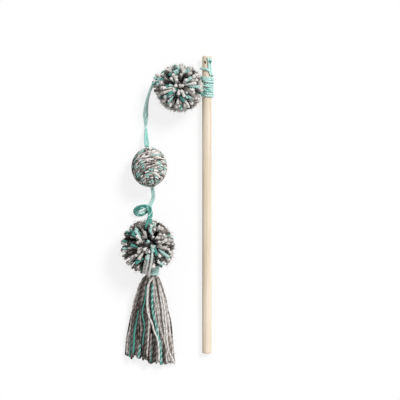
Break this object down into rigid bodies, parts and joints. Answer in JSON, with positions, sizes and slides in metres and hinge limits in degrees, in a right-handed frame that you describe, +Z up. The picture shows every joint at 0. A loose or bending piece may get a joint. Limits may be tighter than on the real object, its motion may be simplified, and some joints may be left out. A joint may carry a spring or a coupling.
{
  "type": "cat teaser wand",
  "caption": "Round wooden stick with yarn wound near its tip and a string of two pompoms, a wound yarn ball and a tassel that swings from it.",
  "frame": {"origin": "on the floor, under the middle of the toy as it lies, measured without its free cords", "axes": "+Y runs along the stick from the grip to the tip, +Z up from the floor, +X from the string towards the stick"},
  "size_m": [0.093, 0.3114, 0.0534],
  "materials": {
    "pale_wood": "bare sanded wood",
    "aqua_yarn": "soft plied yarn",
    "grey_yarn": "soft plied yarn",
    "white_yarn": "soft plied yarn",
    "marled_yarn": "plied yarn of aqua, grey and white strands",
    "mixed_yarn": "cut plied yarn in grey, white and aqua"
  },
  "bodies": {
    "wand": {"stick": "pale_wood", "hole_yarn": "aqua_yarn", "tip_knot": "aqua_yarn", "tip_riser": "aqua_yarn", "tip_lashing": "aqua_yarn", "stick_winding": "aqua_yarn"},
    "upper_part": {"upper_pompom": "mixed_yarn", "upper_pompom_tie": "aqua_yarn", "hitch_yarn": "aqua_yarn", "upper_stop_knot": "aqua_yarn"},
    "ball_part": {"middle_cord": "aqua_yarn", "ball_core": "grey_yarn", "ball_cord": "aqua_yarn", "ball_winding": "marled_yarn", "ball_stop_knot": "aqua_yarn"},
    "lower_part": {"lower_cord": "aqua_yarn", "bow_knot": "aqua_yarn", "bow_loop": "aqua_yarn", "bow_leg_left": "aqua_yarn", "bow_leg_right": "aqua_yarn", "lower_pompom": "mixed_yarn", "lower_pompom_tie": "aqua_yarn", "lower_stop_knot": "aqua_yarn"},
    "tassel_part": {"tassel_strands": "mixed_yarn", "tassel_neck_wrap": "aqua_yarn"}
  },
  "joints": [
    {"name": "string_lift", "type": "hinge", "parent": "wand", "child": "upper_part", "pos_m": [0.0399, 0.1556, 0.00672], "axis": [0, 1, 0.0066], "range_deg": [0, 120]},
    {"name": "middle_cord_swing", "type": "hinge", "parent": "upper_part", "child": "ball_part", "pos_m": [-0.0125, 0.1278, 0.0205], "axis": [0, 0, 1], "range_deg": [-75, 2]},
    {"name": "lower_cord_swing", "type": "hinge", "parent": "ball_part", "child": "lower_part", "pos_m": [-0.0149, 0.0235, 0.0142], "axis": [0, 0, 1], "range_deg": [-60, 2]},
    {"name": "tassel_swing", "type": "hinge", "parent": "lower_part", "child": "tassel_part", "pos_m": [-0.015, -0.0542, 0.018], "axis": [0, 0, 1], "range_deg": [-18, 5]}
  ]
}
